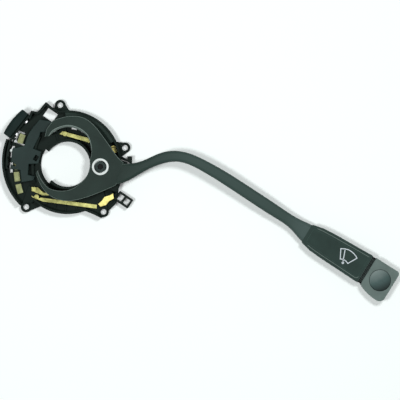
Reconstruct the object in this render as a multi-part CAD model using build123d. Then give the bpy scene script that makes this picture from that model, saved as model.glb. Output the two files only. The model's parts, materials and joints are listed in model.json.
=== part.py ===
from build123d import *
import math
import os

# Combination stalk switch: a ring base round a steering column, with a wiper lever that swivels on
# one screw. Millimetres. The origin is on the column axis at the mounting face, +X runs along the
# lever side of the ring, +Z points to the driver.

os.makedirs("parts", exist_ok=True)

# Column bore and the ring base
BORE_R = 17.0
COLLAR_T = 1.8
COLLAR_H = 12.0
COLLAR_GAP_FROM = 164.0
COLLAR_GAP_TO = 244.0
RELIEF_R = 20.2
FLOOR_T = 2.4
RIM_H = 12.0
RIM_T = 1.7
RIM_LIP = 0.6
RIM_LIP_H = 1.6
TOP_R = 40.6
BOTTOM_R = 37.6
LEFT_CX = -3.0
LEFT_CY = 1.0
CORNER_X = 44.2
CORNER_Y = -16.0

# Mounting lugs
LUG_RIGHT_X = 37.0
LUG_RIGHT_SPACING = 51.0
LUG_LEFT_X = -19.5
LUG_LEFT_SPACING = 81.0
LUG_HOLE_R = 2.15
LUG_R = 4.0
LUG_T = 5.0

# Pivot: one screw, a nylon ball bush and a post on the base
PIVOT_X = 24.5
PIVOT_Y = 6.0
PIVOT_Z = 20.3
BALL_R = 6.5
SEAT_GAP = 0.1
SCREW_R = 2.5
SCREW_FIT = 0.05
HEAD_R = 4.15
HEAD_H = 3.6
HEX_AF = 4.0
POST_R = 5.4
NUT_AF = 8.0
NUT_T = 4.0

# Lever yoke and stalk
YOKE_Z = 15.5
YOKE_T = 6.5
COLUMN_GAP = 0.45
YOKE_EDGE = 0.9

# Paddle at the lever's end, in its own frame: length along the paddle from its shoulder
PADDLE_X = 191.2
PADDLE_Y = 6.9
PADDLE_TURN = -13.0
PADDLE_T = 12.6
PADDLE_L = 47.4
PADDLE_W0 = 15.6
PADDLE_W1 = 20.4
PADDLE_W2 = 23.2
PADDLE_WALL = 1.8
PADDLE_EDGE = 2.4
PLATE_T = 0.8
GROOVE_L = 3.2
TIP_END = 71.4
TIP_FLARE = 15.6
BUTTON_R = 7.9
BUTTON_GAP = 0.3
BUTTON_S = 61.4
BUTTON_T = -1.4
BUTTON_RISE = 2.4
BUTTON_TRAVEL = 1.5
WELL_FLOOR = 4.0

# Contact slider, on an arc about the pivot
SLIDER_Z = 7.6
SLIDER_T = 2.4
PEG_R = 1.4
PEG_X = -18.8
PEG_Y = 22.4
PEG_GAP = 0.4
PEG_SWING = 1.0
TRACK_R = 63.8
TRACK_X = PIVOT_X - TRACK_R
TRACK_EDGE = 10.4
LEFT_R = LEFT_CX - TRACK_X + TRACK_EDGE
GUIDE_IN = 13.2
GUIDE_T = 1.6
TRACK_W = 4.2
TRACK_BED_Z = 4.0
CONTACT_T = 0.5
CONTACT_GAP = 0.3

# Detent
DETENT_CREST_R = TRACK_R + 6.2
DETENT_TRACK_T = 1.7
DETENT_ANGLE = 188.0
DETENT_STEP = 5.0
DETENT_Z = 7.2
PLUNGER_R = 1.5
PLUNGER_FIT = 0.06
PLUNGER_L = 6.4
PLUNGER_TRAVEL = 0.6
PLUNGER_GAP = 0.2

# Brass strip and connector
STRIP_T = 0.8
RAIL_Z = 5.2
RIVET_R = 1.1
BLADE_W = 6.3
BLADE_T = 0.8
BLADE_PITCH = 7.0
BLADE_ROW_PITCH = 5.4
BLADE_L = 8.5
CONN_X = 36.5
CONN_Y = 3.6
CONN_WALL = 1.2
CONN_SIDE_GAP = 1.6
CONN_END_GAP = 0.8
CONN_H = 12.0
CONN_ROOF = 2.0


# ---------------------------------------------------------------- helpers

def polar(radius, angle, cx=0.0, cy=0.0):
    """Point at a radius and an angle in degrees about a centre."""
    return (cx + radius * math.cos(math.radians(angle)), cy + radius * math.sin(math.radians(angle)))


def slab(outline, z0, z1):
    """Solid of a closed list of corners, or of a sketch, between two heights."""
    face = make_face(Polyline(*outline, close=True)) if isinstance(outline, list) else outline
    return Pos(0, 0, z0) * extrude(face, z1 - z0, dir=(0, 0, 1))


def long_edges(solid, shortest):
    """Edges of the top face, without those too short to take a fillet."""
    return [edge for edge in solid.edges().group_by(Axis.Z)[-1] if edge.length > shortest]


def cylinder(x, y, radius, z0, z1):
    return Pos(x, y, (z0 + z1) / 2) * Cylinder(radius, z1 - z0)


def box(x0, x1, y0, y1, z0, z1):
    return Pos((x0 + x1) / 2, (y0 + y1) / 2, (z0 + z1) / 2) * Box(x1 - x0, y1 - y0, z1 - z0)


def pie(radius, a0, a1, cx=0.0, cy=0.0):
    """Flat sector of a disc with its point at the disc's centre."""
    arc = CenterArc((cx, cy), radius, a0, a1 - a0)
    return make_face([arc, Line(arc @ 1, (cx, cy)), Line((cx, cy), arc @ 0)])


def band(r_in, r_out, a0, a1, cx=0.0, cy=0.0):
    """Flat piece of a ring between two angles."""
    outer = CenterArc((cx, cy), r_out, a0, a1 - a0)
    inner = CenterArc((cx, cy), r_in, a0, a1 - a0)
    return make_face([outer, Line(outer @ 1, inner @ 1), inner, Line(inner @ 0, outer @ 0)])


def pivot_band(r_in, r_out, a0, a1):
    return band(r_in, r_out, a0, a1, PIVOT_X, PIVOT_Y)


def bar(p0, p1, width, z0, z1):
    """Straight strip between two points."""
    dx = p1[0] - p0[0]
    dy = p1[1] - p0[1]
    turn = math.degrees(math.atan2(dy, dx))
    place = Pos((p0[0] + p1[0]) / 2, (p0[1] + p1[1]) / 2, (z0 + z1) / 2) * Rot(0, 0, turn)
    return place * Box(math.hypot(dx, dy), width, z1 - z0)


def coil(x, y, z0, z1, radius, wire, turns):
    """Coil spring as a swept helix."""
    height = z1 - z0 - 2 * wire
    path = Pos(x, y, z0 + wire) * Helix(height / turns, height, radius)
    section = Plane(origin=path @ 0, z_dir=path % 0) * Circle(wire)
    return sweep(section, path=path, is_frenet=True)


lugs = [(LUG_RIGHT_X, LUG_RIGHT_SPACING / 2), (LUG_RIGHT_X, -LUG_RIGHT_SPACING / 2),
        (LUG_LEFT_X, LUG_LEFT_SPACING / 2), (LUG_LEFT_X, -LUG_LEFT_SPACING / 2)]


# ---------------------------------------------------------------- base

CHORD_OUT = 0.9
COVER_A = polar(LEFT_R + CHORD_OUT, 174.0)
COVER_B = polar(LEFT_R + CHORD_OUT, 146.4)
CHORD_DIST = math.hypot(COVER_A[0] + COVER_B[0], COVER_A[1] + COVER_B[1]) / 2


def window_outline():
    """Frame of the see-through window at the upper left."""
    return [(-12.0, 14.0), (-39.0, 14.0), (-38.6, 29.6), (-33.7, 30.2), (-30.2, 39.2), (-24.6, 37.0),
            (-12.0, 37.0)]


def corner_outline():
    """Lower right corner of the base, beside the terminals."""
    return [(10.0, -20.0), (23.6, -29.2), (28.5, -29.4), (LUG_RIGHT_X, CORNER_Y - 14.4), (CORNER_X, CORNER_Y),
            (CORNER_X - 1.7, -6.0), (30.0, 0.0)]


def base_plan(inset=0.0):
    """Plan of the tray without its lugs, or of its inside when inset by the rim's thickness."""
    trim = math.degrees(inset / BOTTOM_R)
    plan = Circle(BOTTOM_R - 3.6 - inset) + pie(TOP_R - inset, -36, 123 - trim)
    plan += pie(BOTTOM_R - inset, 240, 326)
    sector = make_face(Polyline((0, 0), polar(90, 176), (-90, -90), polar(90, 246 - trim), close=True))
    plan += (Pos(LEFT_CX, LEFT_CY) * Circle(LEFT_R - inset)) & sector
    for corners in (corner_outline(), window_outline(), [(0, 0), COVER_A, COVER_B]):
        face = make_face(Polyline(*corners, close=True))
        plan += offset(face, -inset, kind=Kind.INTERSECTION) if inset else face
    if inset:
        plan += pie(CHORD_DIST - inset - 1.1, 139, 246 - trim)
    return plan


def bore_plan():
    """Column bore with the relief that the slider reaches into."""
    return Circle(BORE_R) + pie(RELIEF_R, COLLAR_GAP_FROM, COLLAR_GAP_TO)


def lug_plan(x, y):
    """Ear that carries one fixing hole, drawn out of the ring."""
    reach = math.hypot(x, y)
    turn = math.degrees(math.atan2(y, x))
    root = min(TOP_R, BOTTOM_R) - 6.0
    ear = make_face(Polyline((root, -10.0), (reach, -LUG_R), (reach, LUG_R), (root, 10.0), close=True))
    return Rot(0, 0, turn) * ear + Pos(x, y) * Circle(LUG_R)


def window_cut():
    """Square window through the floor."""
    return Pos(-24.2, 31.0, FLOOR_T / 2) * Rot(0, 0, -15.5) * Box(9.0, 7.2, 4 * FLOOR_T)


def floor_slots():
    """Openings in the floor behind the slider."""
    cuts = []
    for a0, a1 in ((172.5, 180.0), (183.0, 190.5), (193.5, 200.0)):
        cuts.append(slab(pivot_band(TRACK_R - 1.0, DETENT_CREST_R - 1.0, a0 + 2, a1 + 2), -1, FLOOR_T + 1))
    for angle in (62, 78, 94):
        cuts.append(slab(band(BORE_R + 9.5, TOP_R - 5.0, angle, angle + 9), -1, FLOOR_T + 1))
    return cuts


def tray():
    """Floor and rim in one, open to the driver's side."""
    plan = base_plan()
    shell = slab(plan, 0, RIM_H - RIM_LIP_H) + slab(base_plan(RIM_LIP), RIM_H - RIM_LIP_H, RIM_H)
    return shell - slab(base_plan(RIM_T), FLOOR_T, RIM_H + 1)


def stiffeners():
    """Ribs on the tray's floor that carry the brass strips."""
    ribs = []
    for angle in (48, 68, 88, 112, 130):
        ribs.append(bar(polar(BORE_R + 1, angle), polar(TOP_R - 1, angle), 1.2, 1, RAIL_Z - 1.4))
    for angle in (258, 272, 286, 300):
        ribs.append(bar(polar(BORE_R + 1, angle), polar(BOTTOM_R - 1, angle), 1.2, 1, RAIL_Z - 1.4))
    return ribs


def rail_beds():
    """Pads under the brass strips, up to their underside."""
    beds = [slab(RAILS[name], 1, RAIL_Z) for name in RAILS]
    beds.append(slab(pivot_band(TRACK_R - TRACK_W / 2 - 0.8, TRACK_R + TRACK_W / 2 + 0.8, 175.5, 217), 1,
                     TRACK_BED_Z))
    return beds


def slider_guide():
    """Low rib on an arc about the pivot that the slider runs along."""
    inner = TRACK_R - GUIDE_IN
    return slab(pivot_band(inner, inner + GUIDE_T, 172, 212), 1, SLIDER_Z - CONTACT_GAP)


def base_housing():
    plan = base_plan()
    body = tray()
    collar = slab(Circle(BORE_R + COLLAR_T), 0, COLLAR_H)
    body += collar - slab(pie(BORE_R + COLLAR_T + 1, COLLAR_GAP_FROM, COLLAR_GAP_TO), FLOOR_T, COLLAR_H + 1)
    body += cylinder(PIVOT_X, PIVOT_Y, POST_R, 0, COLLAR_H)
    inside = slab(plan, 0, RIM_H)
    for rib in stiffeners() + rail_beds() + [slider_guide()]:
        body += rib & inside
    for x, y in lugs:
        body += slab(lug_plan(x, y), 0, LUG_T)
        body += cylinder(x, y, LUG_R, 0, LUG_T)
    body -= slab(bore_plan(), -1, COLLAR_H + 1)
    for x, y in lugs:
        body -= cylinder(x, y, LUG_HOLE_R, -1, LUG_T + 1)
        body -= cylinder(x, y, LUG_R + 0.6, LUG_T, RIM_H + 1)
    for cut in floor_slots():
        body -= cut
    body -= window_cut()
    body -= cylinder(PIVOT_X, PIVOT_Y, SCREW_R, -1, COLLAR_H + 1)
    body -= Pos(PIVOT_X, PIVOT_Y, 0) * slab(hexagon(NUT_AF), -1, NUT_T)
    body -= connector_block()
    fittings = [harness_hook(), terminal_plate(), tower_solid()] + [contact_rail(name) for name in RAILS]
    fittings += [rivet(x, y, RAIL_Z + STRIP_T) for x, y in rivet_spots()]
    for cut in cover_screw_holes() + [clip_foot(), clip_recess()] + fittings:
        body -= cut
    return body


def hexagon(across_flats):
    return RegularPolygon(across_flats / math.sqrt(3), 6)


# ---------------------------------------------------------------- guard at the left

COVER_R = LEFT_R + 6.3
COVER_H = 19.0
COVER_Z = 1.2
COVER_WALL = 2.0
COVER_EDGE = 2.6
COVER_SCREW_R = 1.1
COVER_SCREW_L = 5.5


def cover_chord():
    """Middle and direction of the flat wall that the guard closes against."""
    mid = ((COVER_A[0] + COVER_B[0]) / 2, (COVER_A[1] + COVER_B[1]) / 2)
    turn = math.degrees(math.atan2(COVER_B[1] - COVER_A[1], COVER_B[0] - COVER_A[0]))
    return mid, turn


def side_cover():
    """Raised guard: a segment of a disc with a rounded back, hollow behind."""
    mid, turn = cover_chord()
    length = math.dist(COVER_A, COVER_B)
    away = Pos(mid[0], mid[1]) * Rot(0, 0, turn) * Pos(0, 30) * Rectangle(length, 60)
    plan = Circle(COVER_R) & away
    block = slab(plan, COVER_Z, COVER_H)
    back = [e for e in block.edges().group_by(Axis.Z)[-1] if e.geom_type == GeomType.CIRCLE]
    block = fillet(back, COVER_EDGE)
    pocket = slab(offset(plan, -COVER_WALL), COVER_Z - 1, COVER_H - COVER_WALL - COVER_EDGE)
    block -= pocket
    for hole in cover_screw_holes():
        block -= hole
    return block


def cover_screw_places():
    mid, turn = cover_chord()
    return [Pos(mid[0], mid[1], 8.0) * Rot(0, 0, turn) * Pos(shift, 0, 0) * Rot(-90, 0, 0)
            for shift in (-6.0, 6.0)]


def cover_screw_holes():
    depth = COVER_SCREW_L
    return [place * Pos(0, 0, 0) * Cylinder(COVER_SCREW_R, depth) for place in cover_screw_places()]


def cover_screws():
    """Two small screws from inside the tray into the guard."""
    parts = []
    for place in cover_screw_places():
        screw = Cylinder(COVER_SCREW_R, COVER_SCREW_L)
        screw += Pos(0, 0, -RIM_T - 0.6) * Cylinder(2.0 * COVER_SCREW_R, 1.2)
        screw -= Pos(0, 0, -RIM_T - 1.2) * Box(0.5, 2.6, 0.8)
        parts.append(place * screw)
    return Compound(children=parts)


# ---------------------------------------------------------------- brass strips and terminals

RAILS = {
    "upper": [(-13.0, 19.6), (12.0, 20.8), (10.6, 23.8), (-11.4, 22.4)],
    "lower": [(-18.6, -31.0), (-13.6, -32.0), (-11.0, -30.2), (30.6, -22.0), (31.4, -24.8), (-9.0, -32.6),
              (-17.4, -32.0)],
    "inner": [(-20.3, -24.9), (-15.6, -23.7), (-10.6, -26.2), (4.0, -21.4), (4.6, -23.2), (-10.5, -28.2),
              (-19.3, -27.6)],
}
TOWER_Z = 8.6
TOWER = [(31.4, -21.2), (33.4, -17.8), (34.2, -14.6), (37.7, -12.1), (39.6, -9.9), (41.3, -13.4),
         (38.4, -16.6), (37.4, -19.8), (33.8, -22.4)]
TOWER_FEET = [(33.4, -19.8), (36.8, -15.2)]
RIGHT_PLATE = [(26.6, 22.9), (29.8, 24.5), (32.5, 20.6), (30.6, 19.0)]


def rail_rivet_places(name):
    """Rivets near both ends of a strip."""
    corners = RAILS[name]
    middle = len(corners) // 2
    left = ((corners[0][0] + corners[-1][0]) / 2, (corners[0][1] + corners[-1][1]) / 2)
    inner, outer = corners[middle - 1], corners[middle]
    right = ((inner[0] + outer[0]) / 2, (inner[1] + outer[1]) / 2)
    places = []
    for share in (0.13, 0.92):
        places.append((left[0] + (right[0] - left[0]) * share, left[1] + (right[1] - left[1]) * share))
    return places


def contact_rail(name):
    """Flat brass strip riveted to its bed."""
    strip = slab(RAILS[name], RAIL_Z, RAIL_Z + STRIP_T)
    for x, y in rail_rivet_places(name):
        strip -= cylinder(x, y, RIVET_R, RAIL_Z - 1, RAIL_Z + STRIP_T + 1)
    return strip


def contact_pads():
    """Fixed contacts under the slider's path, on the arc about the pivot."""
    pads = []
    for angle in TRACK_PADS:
        pad = slab(pivot_band(TRACK_R - TRACK_W / 2, TRACK_R + TRACK_W / 2, angle - 3.2, angle + 3.2),
                   TRACK_BED_Z, TRACK_BED_Z + CONTACT_T)
        pads.append(pad)
    return Compound(children=pads)


def rivet(x, y, z):
    """Button-head rivet with its head on a strip's upper face at z."""
    head = Pos(x, y, z) * Cylinder(1.7 * RIVET_R, 0.5, align=(Align.CENTER, Align.CENTER, Align.MIN))
    head = fillet(head.edges().group_by(Axis.Z)[-1], 0.3)
    return head + cylinder(x, y, RIVET_R, z - STRIP_T - 2.0, z)


def rivet_spots():
    return [spot for name in RAILS for spot in rail_rivet_places(name)]


def rail_rivets():
    """Brass rivets that hold the three strips to the base."""
    return Compound(children=[rivet(x, y, RAIL_Z + STRIP_T) for x, y in rivet_spots()])


def tower_solid():
    """Raised terminal plate on two legs at the lower right."""
    plate = slab(TOWER, TOWER_Z, TOWER_Z + STRIP_T)
    for x, y in TOWER_FEET:
        plate += box(x - 1.2, x + 1.2, y - 0.4, y + 0.4, FLOOR_T - 1.0, TOWER_Z)
    return plate


def terminal_plate():
    """Small brass plate beside the upper right lug, with a bent tab."""
    plate = slab(RIGHT_PLATE, RAIL_Z, RAIL_Z + STRIP_T)
    x, y = RIGHT_PLATE[1]
    return plate + bar((x - 2.6, y - 1.5), (x - 0.6, y - 0.3), STRIP_T, RAIL_Z, RAIL_Z + 4.0)


def connector_size():
    """Inside width across the rows and inside length along them."""
    across = BLADE_ROW_PITCH + BLADE_T + 2 * CONN_SIDE_GAP
    along = 2 * BLADE_PITCH + BLADE_W + 2 * CONN_END_GAP
    return across, along


def connector_block():
    """Outside of the connector housing."""
    across, along = connector_size()
    return Pos(CONN_X, CONN_Y, CONN_H / 2) * Box(across + 2 * CONN_WALL, along + 2 * CONN_WALL, CONN_H)


def blade_places():
    return [(CONN_X + row * BLADE_ROW_PITCH / 2, CONN_Y + col * BLADE_PITCH) for row in (-1, 1)
            for col in (-1, 0, 1)]


def blade(x, y):
    """Tab terminal that points away from the driver, with a chamfered tip."""
    top = CONN_H - CONN_ROOF + 1.2
    low = CONN_H - CONN_ROOF - BLADE_L
    tab = box(x - BLADE_T / 2, x + BLADE_T / 2, y - BLADE_W / 2, y + BLADE_W / 2, low, top)
    return chamfer(tab.edges().group_by(Axis.Z)[0].filter_by(Axis.X), 1.0)


def terminal_blades():
    return Compound(children=[blade(x, y) for x, y in blade_places()])


def connector_housing():
    """Rectangular socket that opens at the mounting face, with the blades in its roof."""
    across, along = connector_size()
    body = connector_block()
    body = chamfer(body.edges().group_by(Axis.Z)[-1], 0.6)
    body -= Pos(CONN_X, CONN_Y, (CONN_H - CONN_ROOF) / 2 - 1) * Box(across, along, CONN_H - CONN_ROOF + 2)
    for x, y in blade_places():
        body -= blade(x, y)
    body -= Pos(CONN_X, CONN_Y - along / 2 - CONN_WALL, 3.0) * Box(5.0, 3 * CONN_WALL, 2.4)
    return body


CLIP_X0 = 42.6
CLIP_Y0 = -10.3
CLIP_L = 12.4
CLIP_W = 8.0
CLIP_BAR = 1.7
CLIP_Z = 3.0
CLIP_T = 4.2
CLIP_TURN = -15.5
CLIP_FOOT = 5.0
CLIP_FOOT_W = 3.6
CLIP_FOOT_Y = -1.8


def clip_place():
    return Pos(CLIP_X0, CLIP_Y0, CLIP_Z) * Rot(0, 0, CLIP_TURN)


def clip_recess():
    """Room that the loop takes out of the base's corner."""
    return clip_place() * Pos(CLIP_L / 2, 0, CLIP_T) * Box(CLIP_L + 0.3, CLIP_W + 0.6, 2 * CLIP_T + 2)


def clip_foot():
    return clip_place() * Pos(-CLIP_FOOT / 2, CLIP_FOOT_Y, CLIP_T / 2) * Box(CLIP_FOOT, CLIP_FOOT_W, CLIP_T)


def harness_clip():
    """Rectangular cable loop with two windows on a foot that sits in the base."""
    window = (CLIP_L - 3 * CLIP_BAR) / 2
    loop = Pos(CLIP_L / 2, 0, CLIP_T / 2) * Box(CLIP_L, CLIP_W, CLIP_T)
    loop = fillet(loop.edges().filter_by(Axis.Z), 0.8)
    for place in (CLIP_BAR + window / 2, 2 * CLIP_BAR + 1.5 * window):
        loop -= Pos(place, 0, CLIP_T / 2) * Box(window, CLIP_W - 2 * CLIP_BAR, CLIP_T + 2)
    return clip_place() * loop + clip_foot()


HOOK_Z0 = 3.4
HOOK_Z1 = 8.0


def hook_foot():
    return slab([(31.8, 19.2), (32.0, 16.6), (38.2, 16.3), (38.2, 18.3)], HOOK_Z0, HOOK_Z1 - 2.0)


def harness_hook():
    """Hooked arm beside the upper right lug."""
    arm = slab([(38.2, 18.3), (38.2, 16.3), (42.8, 16.1), (45.6, 15.0), (45.9, 16.2), (44.3, 21.0),
                (40.8, 20.0), (41.6, 17.8)], HOOK_Z0, HOOK_Z1)
    return arm + hook_foot()


# ---------------------------------------------------------------- pivot

def pivot_screw():
    """Socket head cap screw, from the bush's recess down into the nut."""
    top = head_seat() + HEAD_H
    head = cylinder(PIVOT_X, PIVOT_Y, HEAD_R, head_seat(), top)
    head = chamfer(head.edges().group_by(Axis.Z)[-1], 0.4)
    screw = head + cylinder(PIVOT_X, PIVOT_Y, SCREW_R, 0.6, head_seat())
    return screw - Pos(PIVOT_X, PIVOT_Y, 0) * slab(hexagon(HEX_AF), top - 2.4, top + 1)


def head_seat():
    """Height of the screw head's underside."""
    return PIVOT_Z - 1.9


def pivot_nut():
    nut = Pos(PIVOT_X, PIVOT_Y, 0) * slab(hexagon(NUT_AF), 0.4, NUT_T)
    return nut - cylinder(PIVOT_X, PIVOT_Y, SCREW_R, -1, NUT_T + 1)


def pivot_bush():
    """Nylon ball with a neck that stands on the post, and a recess for the screw's head."""
    top = PIVOT_Z + 2.0
    ball = Pos(PIVOT_X, PIVOT_Y, PIVOT_Z) * Sphere(BALL_R)
    ball = ball & box(PIVOT_X - 9, PIVOT_X + 9, PIVOT_Y - 9, PIVOT_Y + 9, YOKE_Z, top)
    bush = ball + cylinder(PIVOT_X, PIVOT_Y, SCREW_R + 1.1, COLLAR_H + SEAT_GAP, YOKE_Z + 0.5)
    bush -= cylinder(PIVOT_X, PIVOT_Y, SCREW_R + SCREW_FIT, COLLAR_H - 1, top + 1)
    return bush - cylinder(PIVOT_X, PIVOT_Y, HEAD_R + 0.6, head_seat() - SEAT_GAP, top + 1)


# ---------------------------------------------------------------- lever

def yoke_plan():
    """C-shaped yoke with its hub, seen from the driver's side."""
    outer_top = Spline((40.0, 14.6), (33.2, 17.9), (25.6, 23.6), (17.9, 29.1), (8.6, 34.8), (0.0, 36.9),
                       (-7.0, 35.6), (-14.0, 32.2), (-20.4, 27.2))
    top_end = Polyline((-20.4, 27.2), (-22.6, 20.0), (-22.2, 14.2), (-19.6, 15.4), (-16.4, 21.6))
    inner_top = Spline((-16.4, 21.6), (-9.0, 27.0), (-0.6, 28.0), (7.0, 25.8), (11.6, 21.2), (14.6, 15.0),
                       polar(BORE_R + COLUMN_GAP, 27))
    hub_edge = CenterArc((0, 0), BORE_R + COLUMN_GAP, -40, 67)
    inner_low = Spline(polar(BORE_R + COLUMN_GAP, -40), (9.8, -16.2), (4.6, -19.6), (-1.4, -21.3),
                       (-7.0, -21.3), (-12.2, -18.8), (-16.4, -15.2), (-19.2, -11.6))
    low_end = Polyline((-19.2, -11.6), (-19.9, -13.4), (-18.0, -16.4))
    outer_low = Spline((-18.0, -16.4), (-11.6, -22.8), (-6.0, -26.1), (0.0, -27.3), (7.0, -26.8), (15.0, -23.5),
                       (24.0, -17.4), (32.4, -10.4), (40.0, -3.4))
    close = Line((40.0, -3.4), (40.0, 14.6))
    return make_face([outer_top, top_end, inner_top, hub_edge, inner_low, low_end, outer_low, close])


# Stations down the stalk: x, y, z, heading, half width, half height
STALK = [
    (34.0, 3.6, 18.75, 26.0, 8.2, 3.2),
    (43.0, 7.8, 18.7, 33.0, 6.9, 3.3),
    (50.4, 13.0, 18.6, 41.0, 4.7, 3.5),
    (57.6, 19.4, 18.4, 43.0, 3.7, 3.7),
    (65.4, 26.2, 18.1, 37.0, 4.0, 3.9),
    (73.6, 30.8, 17.7, 22.0, 4.1, 4.0),
    (83.2, 32.7, 17.2, 2.0, 4.0, 4.0),
    (95.0, 31.8, 16.5, -9.0, 4.1, 4.1),
    (112.0, 28.5, 15.2, -13.0, 4.4, 4.3),
    (136.0, 22.4, 13.1, -14.5, 4.6, 4.5),
    (160.0, 16.1, 10.6, -14.5, 4.5, 4.6),
    (176.4, 11.6, 8.6, -14.5, 4.9, 4.8),
    (183.2, 9.3, 7.6, -13.8, 6.4, 5.2),
    (188.8, 7.6, 6.9, -13.0, 7.2, 5.4),
]


def stalk_section(station):
    x, y, z, heading, half_w, half_h = station
    along = (math.cos(math.radians(heading)), math.sin(math.radians(heading)), 0)
    across = (-along[1], along[0], 0)
    flat = Plane(origin=(x, y, z), x_dir=across, z_dir=along)
    return flat * RectangleRounded(2 * half_w, 2 * half_h, 0.62 * min(half_w, half_h))


def stalk():
    """Cranked stalk through its stations."""
    return loft([stalk_section(station) for station in STALK])


def lever_arm():
    """Yoke, hub and stalk in one moulding, with the drive peg under the upper arm's end."""
    yoke = slab(yoke_plan(), YOKE_Z, YOKE_Z + YOKE_T)
    yoke = fillet(long_edges(yoke, 5), YOKE_EDGE)
    arm = yoke + stalk()
    tongue_len = TONGUE_L + 4.0
    arm += PADDLE * Pos(TONGUE_L - tongue_len / 2, 0, PADDLE_T / 2) * Box(tongue_len, TONGUE_W, TONGUE_T)
    arm -= Pos(PIVOT_X, PIVOT_Y, PIVOT_Z) * Sphere(BALL_R + SEAT_GAP)
    peg = cylinder(PEG_X, PEG_Y, PEG_R, SLIDER_Z + 0.3, YOKE_Z + 0.5)
    return arm + chamfer(peg.edges().group_by(Axis.Z)[0], 0.4)


# ---------------------------------------------------------------- paddle

PADDLE = Pos(PADDLE_X, PADDLE_Y, 0) * Rot(0, 0, PADDLE_TURN)
SHOULDER_L = 4.0
TONGUE_L = 9.0
TONGUE_W = 8.4
TONGUE_T = 6.4
SPIGOT_L = 6.0
SPIGOT_W = 13.0
SPIGOT_T = 5.4
GROOVE_INSET = 1.5


def paddle_outline(grow=0.0):
    """Half-symmetric plan that widens from the shoulder to the groove."""
    half = [(-SHOULDER_L, PADDLE_W0 / 2), (5.0, PADDLE_W1 / 2 - 0.4), (14.0, PADDLE_W1 / 2 + 0.3),
            (PADDLE_L, PADDLE_W2 / 2)]
    corners = half + [(s, -t) for s, t in reversed(half)]
    face = make_face(Polyline(*corners, close=True))
    return offset(face, grow, kind=Kind.INTERSECTION) if grow else face


def plate_outline():
    """Inset face plate, a trapezoid that keeps a rim of the paddle all round."""
    half = [(-1.2, 5.8), (PADDLE_L - 2.0, 8.6)]
    corners = half + [(s, -t) for s, t in reversed(half)]
    face = make_face(Polyline(*corners, close=True))
    return fillet(face.vertices(), 1.4)


def paddle_shell():
    """Hollow paddle that the stalk's tongue and the tip's spigot plug into."""
    block = slab(paddle_outline(), 0, PADDLE_T)
    upright = block.edges().filter_by(Axis.Z)
    block = fillet(upright.group_by(Axis.X)[0] + upright.group_by(Axis.X)[1], 2.0)
    for rim in (block.edges().group_by(Axis.Z)[-1], block.edges().group_by(Axis.Z)[0]):
        block = fillet([e for e in rim if abs(e.center().X - PADDLE_L) > 0.5], PADDLE_EDGE)
    block -= slab(plate_outline(), PADDLE_T - PLATE_T, PADDLE_T + 1)
    hollow = slab(paddle_outline(-PADDLE_WALL - 1.0), PADDLE_WALL, PADDLE_T - PADDLE_WALL - PLATE_T)
    block -= hollow & box(TONGUE_L + 2.0, PADDLE_L - SPIGOT_L - 1.0, -30, 30, 0, PADDLE_T)
    block -= Pos(TONGUE_L / 2 - 5, 0, PADDLE_T / 2) * Box(TONGUE_L + 10, TONGUE_W, TONGUE_T)
    block -= Pos(PADDLE_L, 0, PADDLE_T / 2) * Box(2 * SPIGOT_L, SPIGOT_W, SPIGOT_T)
    block = PADDLE * block
    return block - stalk()


def face_plate():
    """Inset plate on the paddle's driver side."""
    return PADDLE * slab(plate_outline(), PADDLE_T - PLATE_T, PADDLE_T)


def tip_outline():
    """Plan of the tip with its flare on the lower side."""
    start = PADDLE_L + GROOVE_L
    low_start = -PADDLE_W2 / 2
    upper = Line((start, PADDLE_W2 / 2), (TIP_END - 3.0, PADDLE_W2 / 2 - 0.3))
    corner = ThreePointArc(upper @ 1, (TIP_END - 0.6, PADDLE_W2 / 2 - 1.2), (TIP_END, PADDLE_W2 / 2 - 3.4))
    end = Line(corner @ 1, (TIP_END, -TIP_FLARE + 4.0))
    round_low = ThreePointArc(end @ 1, (TIP_END - 1.6, -TIP_FLARE + 1.0), (TIP_END - 5.4, -TIP_FLARE))
    flare = Spline(round_low @ 1, (start + 8.0, -TIP_FLARE + 1.0), (start, low_start))
    return make_face([upper, corner, end, round_low, flare, Line(flare @ 1, upper @ 0)])


def tip_housing():
    """Tip of the paddle with the button's well, joined through a groove."""
    block = slab(tip_outline(), 0, PADDLE_T)
    start = PADDLE_L + GROOVE_L
    for rim in (block.edges().group_by(Axis.Z)[-1], block.edges().group_by(Axis.Z)[0]):
        block = fillet([e for e in rim if abs(e.center().X - start) > 0.5], 2.0)
    neck = box(PADDLE_L, start + 1, -PADDLE_W2 / 2 + GROOVE_INSET, PADDLE_W2 / 2 - GROOVE_INSET,
               GROOVE_INSET, PADDLE_T - GROOVE_INSET)
    block += neck
    block += box(PADDLE_L - SPIGOT_L, PADDLE_L + 1, -SPIGOT_W / 2, SPIGOT_W / 2,
                 PADDLE_T / 2 - SPIGOT_T / 2, PADDLE_T / 2 + SPIGOT_T / 2)
    block -= cylinder(BUTTON_S, BUTTON_T, BUTTON_R + BUTTON_GAP, WELL_FLOOR, PADDLE_T + 1)
    return PADDLE * block


def tip_button():
    """Domed push button with a skirt and a pocket for its spring."""
    low = WELL_FLOOR + BUTTON_TRAVEL + 1.3
    side = PADDLE_T - 0.2
    stem = cylinder(BUTTON_S, BUTTON_T, BUTTON_R, low, side)
    dome_r = (BUTTON_R ** 2 + BUTTON_RISE ** 2) / (2 * BUTTON_RISE)
    dome = Pos(BUTTON_S, BUTTON_T, side + BUTTON_RISE - dome_r) * Sphere(dome_r)
    dome = dome & cylinder(BUTTON_S, BUTTON_T, BUTTON_R, side, side + BUTTON_RISE + 1)
    button = stem + dome
    button -= cylinder(BUTTON_S, BUTTON_T, 4.2, low - 1, low + 2.4)
    return PADDLE * button


def button_spring():
    """Return spring between the well's floor and the button's pocket."""
    top = WELL_FLOOR + BUTTON_TRAVEL + 1.3 + 2.4
    return PADDLE * coil(BUTTON_S, BUTTON_T, WELL_FLOOR, top, 3.2, 0.3, 4)


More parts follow.
